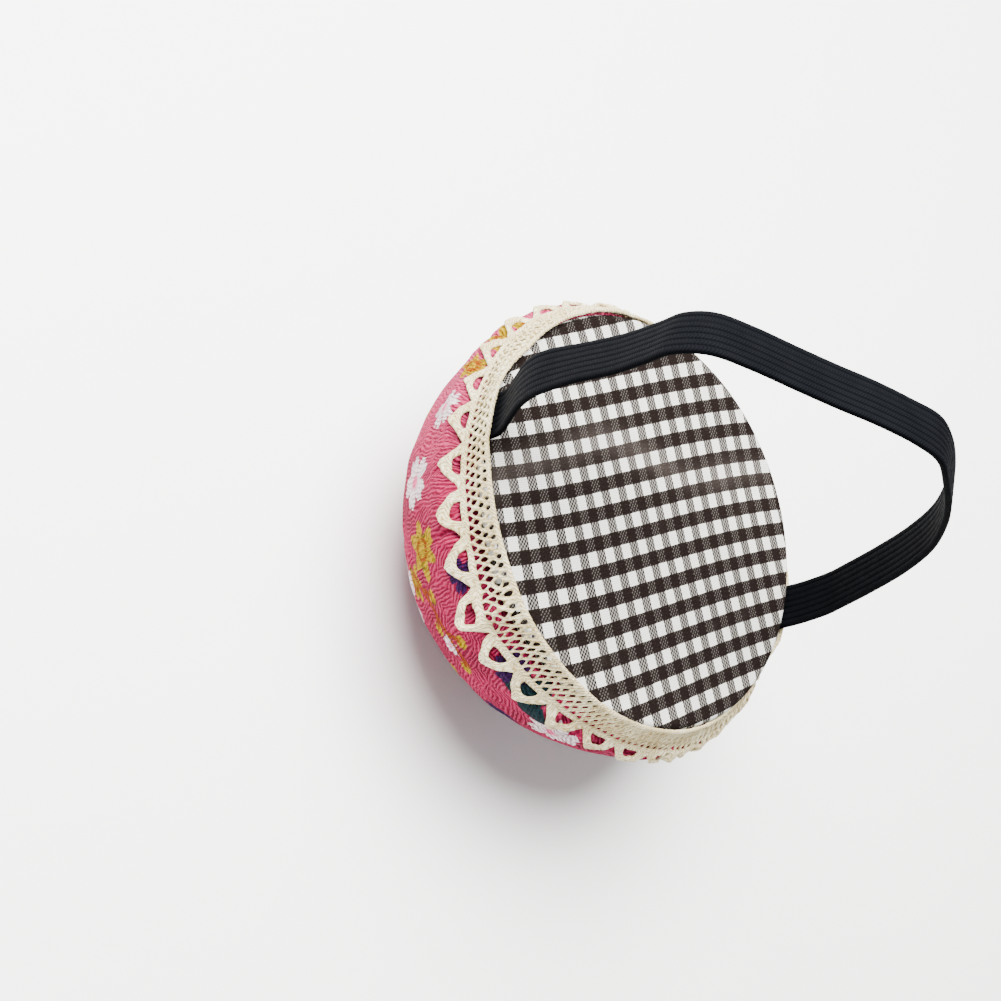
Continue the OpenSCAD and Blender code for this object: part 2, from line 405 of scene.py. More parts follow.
def checked_material():
    """Brown and white check in plain weave, thread by thread, with painted shade where the threads dip."""
    s = Shader("checked_cotton", roughness=0.95, Specular_IOR_Level=0.02)
    x, y, _ = s.split(s.field("cloth", "Vector"))
    flat = s.join(x, y)
    jitter = s.times(s.minus(s.noise(flat, 0.7, 2.0), 0.5), 0.5)
    x, y = s.plus(x, jitter), s.minus(y, jitter)
    column, row = s.math("FLOOR", x), s.math("FLOOR", y)
    across = s.minus(s.math("FRACT", x), 0.5)
    along = s.minus(s.math("FRACT", y), 0.5)
    half = THREADS_PER_REPEAT / 2
    dark_row = s.math("LESS_THAN", s.math("FLOORED_MODULO", row, THREADS_PER_REPEAT), half)
    dark_column = s.math("LESS_THAN", s.math("FLOORED_MODULO", column, THREADS_PER_REPEAT), half)
    warp_up = s.math("FLOORED_MODULO", s.plus(row, column), 2.0)

    def squared(value):
        return s.times(value, value)

    # Where a warp thread comes to the top it shows as a slanted oval, larger when it is brown
    lean = squared(s.minus(across, along))
    tall = squared(s.plus(across, along))
    oval = s.plus(s.times(lean, 2.6), s.times(tall, 0.9))
    reach = s.plus(0.55, s.times(dark_column, 0.6))
    seen = s.times(warp_up, s.remap(s.minus(reach, oval), -0.12, 0.12))
    brown, white = (0.0056, 0.0034, 0.0029), (0.60, 0.60, 0.56)
    # White thread is painted darker where it runs between brown ones: partly brown fibre on it, partly painted
    # shade from the brown threads
    weft = s.mix(dark_row, s.mix(dark_column, white, (0.17, 0.162, 0.15)), brown)
    warp = s.mix(dark_column, s.mix(dark_row, white, (0.055, 0.050, 0.046)), brown)
    cloth = s.mix(seen, weft, warp)
    weft_height = s.minus(1.0, s.times(squared(along), 3.0))
    warp_height = s.minus(1.1, s.times(squared(across), 3.0))
    height = s.between(weft_height, warp_height, warp_up)
    # Painted shade in the dips between threads, darker where the thread height is low
    cloth = s.mix(s.remap(height, 0.85, 0.3), cloth, (0.38, 0.37, 0.355), "MULTIPLY")
    fuzz = s.noise(flat, 1.6, 3.0, 0.6)
    worn = s.noise(flat, 0.045, 2.0)
    faded = s.plus(s.remap(fuzz, 0.4, 0.8, 0.0, 0.10), s.remap(worn, 0.6, 0.8, 0.0, 0.05))
    rubbed = s.times(s.field("worn"), s.remap(fuzz, 0.3, 0.7, 0.08, 0.26))
    s.colour(s.mix(s.plus(faded, rubbed), cloth, (0.12, 0.10, 0.09)))
    height = s.plus(height, s.times(fuzz, 0.35))
    s.bump(height, 0.05, 0.8)
    return s.material


def lace_material():
    """Cream cotton thread, twisted and stitched, with painted shade in its low places and along the edges of the
    thread.
    """
    s = Shader("cream_lace", roughness=0.95, Specular_IOR_Level=0.04)
    lace = s.field("lace", "Vector")
    along, across, inside = s.split(lace)
    drift = s.times(s.noise(lace, 0.9, 2.0), 1.6)
    slant = s.plus(s.times(along, 1.45), s.times(inside, 2.2))
    turn = s.plus(s.plus(slant, s.times(across, 0.5)), drift)
    stitch = s.remap(s.math("SINE", s.times(turn, TURN)), -1.0, 1.0)
    loops = s.noise(s.scaled(lace, 1.0, 0.8, 1.0), 2.9, 3.0, 0.65)
    fibre = s.noise(lace, 7.0, 4.0, 0.65)
    patch = s.noise(lace, 0.16, 2.0)
    shade = s.mix(s.remap(patch, 0.35, 0.65), (0.62, 0.53, 0.31), (0.76, 0.70, 0.47))
    relief = s.plus(s.times(stitch, 0.22), s.times(loops, 0.6))
    relief = s.plus(relief, s.times(fibre, 0.25))
    # Painted shade: darker where the relief is low and near the edges of the thread
    gap_shade = s.remap(relief, 0.58, 0.36)
    rim = s.remap(inside, 0.16, 0.0, 0.0, 0.5)
    s.colour(s.mix(s.math("MAXIMUM", gap_shade, rim), shade, (0.50, 0.40, 0.26), "MULTIPLY"))
    s.bump(relief, 0.5, 1.0)
    return s.material


def elastic_material():
    """Black ribbed elastic: slanted stitches on every rib, with painted highlight on the stitches and painted shade
    in the grooves between ribs.
    """
    s = Shader("black_elastic", roughness=0.85, Specular_IOR_Level=0.015)
    band = s.field("band", "Vector")
    across, along, rib = s.split(band)
    slant = s.plus(s.times(along, 2.2), s.times(s.math("ABSOLUTE", rib), 0.9))
    stitch = s.math("SINE", s.times(slant, TURN))
    fibre = s.noise(s.join(across, along), 6.0, 3.0, 0.6)
    patch = s.noise(s.join(across, along), 0.25, 2.0)
    shade = s.mix(s.remap(patch, 0.3, 0.7), (0.0016, 0.0019, 0.0027), (0.0024, 0.0027, 0.0035))
    # Painted highlight: paler where the stitches stand proud
    crest = s.mix(s.remap(stitch, -0.2, 1.0, 0.0, 0.45), shade, (0.0068, 0.0074, 0.0090))
    # Painted shade in the grooves between the ribs
    groove_shade = s.remap(s.math("ABSOLUTE", rib), 0.55, 1.0)
    s.colour(s.mix(groove_shade, crest, (0.0006, 0.0008, 0.0014)))
    s.roughness(s.remap(fibre, 0.2, 0.8, 0.62, 0.85))
    height = s.plus(s.times(stitch, 0.35), s.times(fibre, 0.5))
    s.bump(height, 0.08, 0.8)
    return s.material


def thread_material():
    """White sewing thread of two plies, with painted shade between them."""
    s = Shader("sewing_thread", roughness=0.7, sheen=0.2)
    place = s.place()
    ply = s.wave(place, 1.6, 1.0, 1.0, 1.0, "DIAGONAL")
    # Painted shade: darker where the ply wave lies low, between the plies
    s.colour(s.mix(ply, (0.62, 0.59, 0.52), (0.86, 0.84, 0.79)))
    s.bump(ply, 0.04, 0.8)
    return s.material


def wadding_material():
    """Matted white fibre, with painted shade where the fibre and its clumps lie low."""
    s = Shader("fibre_wadding", roughness=0.95, sheen=0.4)
    place = s.place()
    fibre = s.noise(s.scaled(place, 0.4, 2.4, 1.2), 1.1, 6.0, 0.7)
    clump = s.noise(place, 0.12, 3.0)
    # Painted shade: darker where the clumps and the fibre lie low
    shade = s.mix(s.remap(clump, 0.3, 0.7), (0.70, 0.67, 0.60), (0.87, 0.86, 0.82))
    s.colour(s.mix(s.remap(fibre, 0.3, 0.6), (0.55, 0.52, 0.46), shade))
    s.bump(s.plus(fibre, clump), 0.5, 0.9)
    return s.material


def glue_material():
    """Milky hot-melt glue, slightly uneven."""
    s = Shader("clear_glue", roughness=0.28, Transmission_Weight=0.55, IOR=1.48)
    place = s.place()
    cloud = s.noise(place, 0.5, 3.0)
    s.colour(s.mix(s.remap(cloud, 0.3, 0.7), (0.80, 0.78, 0.70), (0.93, 0.92, 0.88)))
    s.roughness(s.remap(s.noise(place, 2.5, 2.0), 0.3, 0.7, 0.18, 0.42))
    s.bump(cloud, 0.25, 0.5)
    return s.material


def card_material():
    """Grey-brown pressed card, with fibres and a layered edge."""
    s = Shader("pressed_card", roughness=0.9)
    place = s.place()
    fibre = s.noise(s.scaled(place, 0.5, 1.6, 1.0), 1.4, 5.0, 0.65)
    layers = s.wave(place, 1.1, 1.5, 2.0, 1.0, "Z")
    shade = s.mix(s.remap(fibre, 0.3, 0.7), (0.24, 0.18, 0.115), (0.42, 0.335, 0.235))
    s.colour(s.mix(s.times(layers, 0.25), shade, (0.19, 0.14, 0.09)))
    s.bump(fibre, 0.12, 0.6)
    return s.material


def rubber_material():
    """Talc-dusted rubber thread."""
    s = Shader("rubber_thread", roughness=0.7)
    place = s.place()
    dust = s.noise(place, 2.0, 4.0)
    s.colour(s.mix(s.remap(dust, 0.4, 0.75, 0.0, 0.6), (0.03, 0.03, 0.032), (0.16, 0.155, 0.15)))
    s.bump(dust, 0.03, 0.5)
    return s.material


def floor_material():
    """Pale matt table, painted darker towards the bottom of the view as painted shade."""
    s = Shader("pale_table", roughness=0.9, Specular_IOR_Level=0.1)
    place = s.place()
    x, y, _ = s.split(place)
    # Painted shade: the table is darker towards the bottom of the view, where the light falls off
    far = s.minus(s.times(y, 0.87), s.times(x, 0.43))
    far = s.plus(far, s.times(s.noise(place, 0.006, 3.0), 20.0))
    s.colour(s.mix(s.remap(far, -150.0, 90.0), (0.76, 0.76, 0.74), (0.98, 0.98, 0.975)))
    return s.material


# ---------- dome ----------

# Points round the dome and millimetres between its rings, the same for the cloth simulation, and the
# number of its frames
DOME_COLS = 800
DOME_STEP = 0.34
PUFF_COLS = 96
PUFF_STEP = 1.6
PUFF_FRAMES = 20
# How far the simulation may move the cloth
PUFF_MOST = 0.6
# Distance from the pole within which no motif has its middle
PATCH_RINGS = 12


def dome_section():
    """Half outline of the dome's outside: the patch it stands on, its side, its shoulder and its back."""
    patch = DOME_R * math.sqrt(1 - (DOME_H / DOME_B) ** 2)
    start = math.degrees(math.acos(patch / DOME_R))
    side = [(DOME_R * math.cos(a), DOME_H - DOME_B * math.sin(a))
            for a in np.radians(np.linspace(start, 0, 60))]
    swell = DOME_R - BASE_R
    shoulder = [(BASE_R + swell * math.cos(a), DOME_H + SHOULDER_H * math.sin(a))
                for a in np.radians(np.linspace(6, 90, 15))]
    return [(0, 0)] + side + shoulder


def puffed(section, cols):
    """How far air pressure moves the cover from its outline, on a coarse grid of it.

    The cover starts a little slack and is blown up until the cloth is tight. It is simulated six
    times its size, where Blender's solver is steady, and scaled back. The pole's own points are
    left out, because points that lie on one another stop the solver.
    """
    still = np.zeros((len(section), cols, 3))
    section = np.asarray(section)[1:]
    rows = len(section)
    up = 6.0
    row = np.arange(rows)
    angles = np.arange(cols) / cols * TURN
    outline = revolved(section, angles)
    free = smoothstep((row - 1) / 4) * smoothstep((rows - 3 - row) / 4)
    lumps = noise(np.arange(cols)[None, :] / 6, row[:, None] / 5, 11, cols // 6)
    slack = free[:, None] * (1.1 - 0.2 * lumps)
    grid = outline - slack[..., None] * outward(angles)
    points, faces = closed_rings(grid, (0, 0, section[0][1]), (0, 0, SEAM_Z))
    cloth = new_mesh("puffing", points * up, faces)
    held = cloth.vertex_groups.new(name="held")
    held.add([*range(2 * cols), *range((rows - 3) * cols, len(points))], 1.0, "REPLACE")
    settings = cloth.modifiers.new("cloth", "CLOTH").settings
    settings.vertex_group_mass = "held"
    settings.quality = 6
    settings.use_pressure = True
    settings.uniform_pressure_force = 4.0
    settings.tension_stiffness = settings.compression_stiffness = 18
    settings.bending_stiffness = 1.5
    settings.shrink_min = -0.03
    settings.effector_weights.gravity = 0
    scene = bpy.context.scene
    cloth.modifiers["cloth"].point_cache.frame_end = PUFF_FRAMES
    for number in range(1, PUFF_FRAMES + 1):
        scene.frame_set(number)
    view = bpy.context.evaluated_depsgraph_get()
    moved = np.array([v.co for v in cloth.evaluated_get(view).data.vertices]) / MM / up
    mesh = cloth.data
    bpy.data.objects.remove(cloth)
    bpy.data.meshes.remove(mesh)
    scene.frame_set(1)
    shift = moved[:rows * cols].reshape(rows, cols, 3) - outline
    length = np.linalg.norm(shift, axis=-1, keepdims=True)
    still[1:] = shift * np.minimum(1, PUFF_MOST / np.maximum(length, 1e-9))
    return still


def stretched(field, rows, cols):
    """A coarse grid of vectors, smoothly enlarged to rows by cols."""
    low_rows, low_cols = field.shape[:2]
    row = np.linspace(0, low_rows - 1, rows)
    col = np.arange(cols) / cols * low_cols
    i = np.clip(np.floor(row).astype(int), 0, low_rows - 2)
    j = np.floor(col).astype(int)
    s, t = smoothstep(row - i)[:, None, None], smoothstep(col - j)[None, :, None]
    a, b = field[i][:, j % low_cols], field[i][:, (j + 1) % low_cols]
    c, d = field[i + 1][:, j % low_cols], field[i + 1][:, (j + 1) % low_cols]
    return (a * (1 - t) + b * t) * (1 - s) + (c * (1 - t) + d * t) * s


def dome_surface():
    """The outside of the cover as a grid: its points, its rings' distances from the pole and its angles."""
    outline, at = resampled(dome_section(), DOME_STEP)
    rows = len(outline)
    angle = np.arange(DOME_COLS) / DOME_COLS * TURN
    coarse, _ = resampled(dome_section(), PUFF_STEP)
    shift = stretched(puffed(coarse, PUFF_COLS), rows, DOME_COLS)
    heading = unit(np.gradient(outline, axis=0))
    normals = revolved(np.stack([heading[:, 1], -heading[:, 0]], 1), angle)
    points = revolved(outline, angle) + shift * smoothstep((at - 14) / 10)[:, None, None]
    to_seam = (at[-1] - at)[:, None]
    s, a = np.meshgrid(at, angle, indexing="ij")
    pleats = noise(a / TURN * 88 + 0.25 * noise(s / 5, a * 3, 5), s / 9, 21, 88)
    pleats = pleats + 0.5 * ring_noise(a, s / 6, 22, 160)
    relief = 0.42 * pleats * smoothstep(1 - to_seam / 15)
    relief = relief * smoothstep(to_seam / 2.5 + 0.35)
    relief = relief + 0.16 * ring_noise(a, s / 3.2, 23, 60) * smoothstep((s - 8) / 10)
    for turn, reach, depth in SEAM_CREASES:
        across = ((a - math.radians(turn) + math.pi) % TURN - math.pi) * DOME_R
        across = across + 0.5 * noise(s / 3, 0 * a + turn, 24)
        groove = np.exp(-(across / 0.55) ** 2) * smoothstep(1.2 - to_seam / reach)
        banks = np.exp(-((np.abs(across) - 1.3) / 0.7) ** 2) * smoothstep(1 - to_seam / reach)
        relief = relief - depth * groove + 0.4 * depth * banks
    points = points + normals * relief[..., None]
    points[..., 2] = np.maximum(points[..., 2], 0.0)
    return points, at, angle


# Deeper creases running down from the seam: angle round the dome, length and depth
SEAM_CREASES = [(-152, 13, 0.9), (-168, 9, 0.6), (-133, 9, 0.6), (-97, 11, 0.7), (-62, 12, 0.8),
                (-21, 9, 0.7), (24, 12, 0.8), (71, 10, 0.7), (113, 12, 0.8), (149, 10, 0.7)]


def in_motif(phi, s, dome_points, row, around, turn):
    """Distances along and across a motif, in millimetres, from its middle on one ring of the dome."""
    ring = np.linalg.norm(dome_points[row, 0, :2])
    across = ((phi - around + math.pi) % TURN - math.pi)[None, :] * ring
    along = (s - s[row])[:, None] + 0 * across
    return turned_axes(across, along, turn)


def blossom(x, y, size):
    """Five notched petals round a small eye, above zero inside."""
    r, a = np.hypot(x, y), np.arctan2(y, x)
    part = np.abs((a / TURN * 5) % 1 - 0.5) * 2
    edge = 0.30 + 0.70 * (1 - part ** 2.2) ** 0.5 - 0.22 * np.exp(-(part / 0.16) ** 2)
    slit = (part - 0.93) * size * 1.2
    return np.minimum(size * edge - r, np.where(r > 0.25 * size, -slit, 9))


def leaf(x, y, length, width):
    """A pointed leaf from the origin along x, above zero inside."""
    t = np.clip(x / length, 0, 1)
    half = width * np.sin(math.pi * t) ** 0.8
    beyond = np.maximum(np.abs(x - length / 2) - length / 2, 0.3)
    return np.where((x > 0) & (x < length), half - np.abs(y), -beyond)


def stem(x, y, length, bow, width=0.36):
    """A thin curved line along x."""
    t = np.clip(x / length, -1, 1)
    return np.minimum(width - np.abs(y - bow * (1 - t * t)), length - np.abs(x))


def print_fields(points, s, phi):
    """The printed pattern: blossoms, sprigs with leaves, and small buds."""
    shape = points.shape[:2]
    fields = {name: np.full(shape, -2.0) for name in ("white", "blush", "yellow", "teal", "purple", "stem")}

    def draw(name, values):
        fields[name] = np.maximum(fields[name], np.clip(values, -2, 2))

    def white_blossom(x, y, size):
        draw("white", blossom(x, y, size))
        draw("blush", 0.24 * size - np.hypot(x, y))

    def gold_flower(x, y, size):
        r, a = np.hypot(x, y), np.arctan2(y, x)
        draw("yellow", size * (0.72 + 0.20 * np.cos(6 * a) + 0.08 * np.cos(3 * a + 1)) - r)
        draw("stem", np.minimum(0.3 - np.abs(r - 0.3 * size), 0.12 * size * (1 + np.cos(3 * a)) - 0.1))

    def sprig(x, y, size):
        draw("stem", stem(x, y, size, 0.18 * size))
        for t, side in ((-0.55, 1), (-0.1, -1), (0.35, 1), (0.7, -1)):
            u, v = turned_axes(x - t * size, y - 0.18 * size * (1 - t * t), side * 0.8)
            draw("stem", np.where(u > 0, stem(u, v, 0.34 * size, 0.3), -2))
            draw("yellow", 0.13 * size - np.hypot(u - 0.36 * size, v))

    def teal_leaves(x, y, size):
        for turn in (0.2, 1.3, -1.0):
            draw("teal", leaf(*turned_axes(x, y, turn), size, 0.34 * size))

    def violet(x, y, size):
        draw("purple", blossom(x, y, size))
        draw("yellow", 0.16 * size - np.hypot(x, y))

    kinds = {"white": white_blossom, "gold": gold_flower, "sprig": sprig,
             "teal": teal_leaves, "violet": violet}

    for kind, around, below_face, size, turn in MOTIFS:
        # Rings near the pole lie in the flat patch that the dome stands on, so they are left out
        height_off = np.abs(points[:, 0, 2] - FACE_Z - below_face) + (s < PATCH_RINGS) * 99
        row = int(np.argmin(height_off))
        x, y = in_motif(phi, s, points, row, math.radians(around), math.radians(turn))
        kinds[kind](x, y, size)
    return fields


# Motif, angle round the dome, height from the face, size and turn
MOTIFS = [
    ("teal", -110, -8, 7.0, 60), ("violet", -142, -5.8, 3.0, 10), ("violet", -117, -5.2, 3.4, 30),
    ("white", -169, -16, 4.6, 15), ("white", -126, -16.5, 2.0, 40), ("white", -95, -9.4, 4.4, 0),
    ("white", 175, -9, 3.4, 0), ("gold", -151, -14.8, 5.2, 0), ("sprig", -133, -18, 9, 20),
    ("gold", 163, -6.2, 3.2, 15), ("gold", -144, -21, 3.6, 20),
    ("gold", 152, -4.8, 4.6, 30), ("gold", 143, -4.4, 4.2, 0), ("sprig", 168, -22, 9, -40),
    ("white", 143, -20, 6.0, 20), ("teal", 122, -12, 6.0, 200), ("violet", 128, -24, 3.8, 0),
    ("white", 104, -9, 4.6, 50), ("gold", 98, -22, 6.2, 10), ("sprig", 80, -14, 9, 10),
    ("white", 62, -22, 6.2, 0), ("violet", 66, -8, 3.6, 0), ("gold", 46, -11, 5.4, 30),
    ("white", 28, -17, 5.6, 35), ("teal", 30, -27, 6.0, 90), ("sprig", 10, -11, 9, -20),
    ("gold", 2, -24, 6.0, 0), ("white", -14, -14, 5.2, 10), ("violet", -24, -24, 3.6, 20),
    ("white", -40, -9, 4.8, 0), ("gold", -46, -20, 6.0, 0), ("sprig", -62, -12, 9, 15),
    ("white", -74, -20, 6.0, 25), ("teal", -84, -27, 6.0, 0), ("violet", -100, -20, 3.6, 0),
    ("gold", -112, -27, 5.6, 0), ("white", -142, -28, 5.6, 0), ("white", 150, -31, 4.6, 0),
    ("sprig", -20, -30, 8, 30), ("white", 80, -32, 4.4, 20), ("white", -60, -32, 4.6, 0)
]


def make_cover(points, s, phi, material):
    """The crepe cover as one closed shell: outside, drawn-up back and inside."""
    rows = len(s)

    def ring(r, z, wave=0.0):
        """One more ring of points, gathered into small folds."""
        fold = wave * ring_noise(phi, 0 * phi + r / 4, 31, 90)
        out = r * outward(phi)
        out[:, 2] = z + fold
        return out

    back = [ring(r, SEAM_Z - 0.12, 0.1) for r in np.linspace(BASE_R - 1.5, GATHER_R, 10)]
    under = [ring(r, SEAM_Z - COVER_T, 0.05) for r in np.linspace(GATHER_R, BASE_R - 2.5, 8)]
    picked = np.arange(rows - 8, 0, -7)
    inner = points[picked] + COVER_T * unit(DOME_MIDDLE - points[picked])
    layers = [*points[1:], *back, *under, *inner, ring(0.4, COVER_T)]
    count = len(layers)
    flat, faces = closed_rings(np.array(layers), (0, 0, 0), (0, 0, COVER_T))
    cover = new_mesh("crepe_cover", flat, [f[::-1] for f in faces])

    # How far every ring lies from the middle of the flat cloth; the hidden inside takes that of its edge
    over_back = s[-1] + 1.5 + np.linspace(0, 20, len(back))
    hidden = np.full(count - rows + 1 - len(back), s[-1] + 22)
    along = np.concatenate([s[1:], over_back, hidden])
    cloth = (along[:, None, None] * outward(phi - CREPE_TURN)).reshape(-1, 3)
    set_field(cover, "cloth", np.vstack([cloth, np.zeros((2, 3))]))
    extra = (count - rows + 1, DOME_COLS)
    for name, values in print_fields(points, s, phi).items():
        values = np.concatenate([values[1:], np.full(extra, -2.0)]).ravel()
        set_field(cover, "print_" + name, np.append(values, [-2.0, -2.0]))
    # Painted light: how far each point faces the key light, for the material to make the crepe paler there
    towards_light = points @ np.array(LIGHT_SIDE) / DOME_R
    light = np.concatenate([towards_light[1:], np.zeros(extra)]).ravel()
    set_field(cover, "light", np.append(light, [0.0, 0.0]))
    finish_piece(cover, "cushion", "crepe", material, "cushion_cover")


# The way the crepe's ridges run, and the side towards the key light, on which the crepe's colour is painted paler
# as painted light
CREPE_TURN = math.radians(30)
LIGHT_SIDE = (-0.75, 0.65, 0.1)


def make_filling(points, material):
    """The stuffing: what is inside the cover, lumpy like packed fibre."""
    rows = np.arange(6, len(points) - 8, 6)
    cols = np.arange(0, DOME_COLS, 5)
    skin = points[rows][:, cols]
    i, j = np.meshgrid(np.arange(len(rows)), np.arange(len(cols)), indexing="ij")
    depth = COVER_T + 0.25 + 0.2 * (1 + noise(j / 4, i / 4, 41, len(cols) // 4))
    grid = skin + unit(DOME_MIDDLE - skin) * depth[..., None]
    low, high = COVER_T + 0.1, SEAM_Z - COVER_T - 0.1
    grid[..., 2] = np.clip(grid[..., 2], low, high)
    flat, faces = closed_rings(grid, (0, 0, low), (0, 0, high))
    filling = new_mesh("fibre_filling", flat, [f[::-1] for f in faces])
    finish_piece(filling, "cushion", "filling", material, "cushion_filling")


# ---------- base ----------

BASE_COLS = 360
# A soft crease across the face, where the cloth has been rubbed pale
CREASE = [(-34, -12), (-28, -5), (-20, 1), (-13, 8), (-4, 10), (7, 11), (17, 17), (26, 22)]


def worn_crease(x, y):
    """One along the crease, falling to zero beside it and patchy along its length."""
    line = smooth_route(CREASE)
    far = np.hypot(x[..., None] - line[:, 0], y[..., None] - line[:, 1]).min(-1)
    return np.exp(-(far / 2.6) ** 2) * (0.6 + 0.4 * noise(x / 5 + 30, y / 5 + 30, 54))


def make_base_cloth(material):
    """The checked cloth: face, rim and gathered hem, turned round the card and back along its inside."""
    inner_round = RIM_ROUND - CLOTH_T
    flat_r = BASE_R - RIM_ROUND
    outside = [(0.3, FACE_Z)] + [(r, FACE_Z) for r in np.linspace(1, flat_r, 60)]
    outside += arc((flat_r, FACE_Z - RIM_ROUND), RIM_ROUND, 80, 0, 7)
    outside += arc((flat_r, GLUE_TOP + RIM_ROUND), RIM_ROUND, 0, -90, 7)
    outside += [(r, GLUE_TOP) for r in np.linspace(flat_r - 0.6, HEM_R, 12)]
    inside = [(r, BOARD_LOW) for r in np.linspace(HEM_R, flat_r, 6)]
    inside += arc((flat_r, BOARD_LOW + inner_round), inner_round, -80, 0, 4)
    inside += arc((flat_r, BOARD_TOP - inner_round), inner_round, 0, 90, 4)
    inside += [(r, BOARD_TOP) for r in np.linspace(flat_r - 2, 0.3, 6)]
    section = np.array(outside + inside)
    lengths = np.concatenate([[0.3], 0.3 + np.cumsum(np.linalg.norm(np.diff(section, axis=0), axis=1))])
    fold = len(outside)
    lengths[fold:] = np.interp(section[fold:, 0], [0, flat_r], [0, flat_r])
    angle = np.arange(BASE_COLS) / BASE_COLS * TURN
    grid = revolved(section, angle)
    outer = np.arange(len(section)) < fold
    on_face = outer & (section[:, 1] > FACE_Z - 0.01)
    x, y = grid[..., 0], grid[..., 1]
    ripple = 0.10 * noise(x / 9 + 20, y / 9 + 20, 51) + 0.05 * noise(x / 3.5 + 40, y / 3.5 + 40, 52)
    grid[..., 2] += (ripple - 0.1) * on_face[:, None] * smoothstep((section[:, 0] - 0.5) / 6)[:, None] * 0.6
    worn = worn_crease(x, y) * on_face[:, None]
    grid[..., 2] -= 0.10 * worn
    hem = outer & (section[:, 1] < GLUE_TOP + 0.01)
    pleat = 0.09 * ring_noise(angle, 0 * angle, 53, 64)
    grid[..., 2] += hem[:, None] * (pleat[None] + 0.09)
    cloth = new_mesh("checked_cloth", *closed_rings(grid, (0, 0, FACE_Z), (0, 0, BOARD_TOP)))
    columns, rows = checks_at(lengths[:, None] * np.cos(angle), lengths[:, None] * np.sin(angle))
    coords = np.stack([columns, rows, 0 * columns], -1).reshape(-1, 3)
    middle = [COLUMN_START, ROW_START, 0]
    set_field(cloth, "cloth", np.vstack([coords, [middle, middle]]) * THREADS_PER_REPEAT)
    set_field(cloth, "worn", np.append(worn, [0, 0]))
    finish_piece(cloth, "cushion", "check_cloth", material, "base_cover")


# The check: size of one repeat, the way its columns and rows are counted in degrees, and how far
# into a repeat the middle of the face lies
COLUMN_PITCH, COLUMN_TURN, COLUMN_START = 3.8, 30.5, -0.5
ROW_PITCH, ROW_TURN, ROW_START = 4.45, 126, -0.3
# How many repeats the gathered hem pulls the columns and rows askew at the rim
COLUMN_PULL, ROW_PULL = 0.8, 0.8


def checks_at(x, y):
    """Columns and rows counted to a place on the flat cloth, from its middle, with the pull of the hem."""
    def counted(pitch, turn, first):
        way = math.radians(turn)
        return first + (x * math.cos(way) + y * math.sin(way)) / pitch

    # Past the rim the pull stays as it is at the rim
    far = BASE_R * np.maximum(1, np.hypot(x, y) / BASE_R)
    a, b = x / far, y / far
    columns = counted(COLUMN_PITCH, COLUMN_TURN, COLUMN_START) + COLUMN_PULL * a * (a - 1) * b**2
    rows = counted(ROW_PITCH, ROW_TURN, ROW_START) + ROW_PULL * a**2 * b
    return columns, rows


# ---------- lace ----------

# Cells in one repeat of the lace and across it, its sizes, and how far across its net ends
LACE_U = 46
LACE_V = 62
LACE_REPEAT = 7.5
LACE_LENGTH = SCALLOPS * LACE_REPEAT
LACE_W = 10.2
LACE_BAND = 5.7
# Half the thickness of its thread, and its distance from the dome
LACE_HALF_T = 0.30
LACE_CLEAR = 0.34


def lace_pattern():
    """One repeat of the lace as a grid of distances inside its thread, in millimetres, across and along."""
    u = np.arange(LACE_U) / LACE_U * LACE_REPEAT
    v = np.linspace(0, LACE_W, LACE_V)
    u, v = np.meshgrid(u, v, indexing="ij")

    def pattern(u, v):
        header = 0.42 - np.abs(v - 0.42)
        holes = 5
        step = LACE_REPEAT / holes
        lean = 0.55
        thickness = np.interp(v, [0.8, LACE_BAND], [0.27, 0.15])

        def thread(w):
            return thickness - np.abs((w / step + 0.5) % 1 - 0.5) * step * math.cos(math.atan(lean))

        one, two = thread(u + lean * v), thread(u - lean * v)
        soft = 0.09
        net = soft * np.log(np.exp(one / soft) + np.exp(two / soft))
        band = 0.45 - np.abs(v - (LACE_BAND + 0.42))
        x = u / LACE_REPEAT * 2 - 1
        x = (x + 1) % 2 - 1
        edge = LACE_BAND + 1.15 + (LACE_W - LACE_BAND - 1.2) * (1 - (x * x + 0.004) ** 0.5)
        outer = (edge - v) * 0.72
        hole_x, hole_v = x * LACE_REPEAT / 2, v - (LACE_BAND + 0.85)
        round_hole = np.hypot(hole_x / 1.6, hole_v / 1.4) - 1
        hole = np.minimum(-round_hole * 1.4, hole_v)
        scallop = np.minimum(outer, -hole)
        low = np.maximum(header, np.where(v < LACE_BAND + 0.5, net, -9))
        high = np.where(v > LACE_BAND + 0.35, scallop, -9)
        return np.maximum(np.maximum(low, band), high)

    f = pattern(u, v)
    h = 0.02
    du = (pattern(u + h, v) - pattern(u - h, v)) / (2 * h)
    dv = (pattern(u, v + h) - pattern(u, v - h)) / (2 * h)
    return f, du, dv


def round_rim(table, angle):
    """Between the values of a table that is given at some angles round the rim, in degrees."""
    return np.interp(angle, *np.array(table).T)


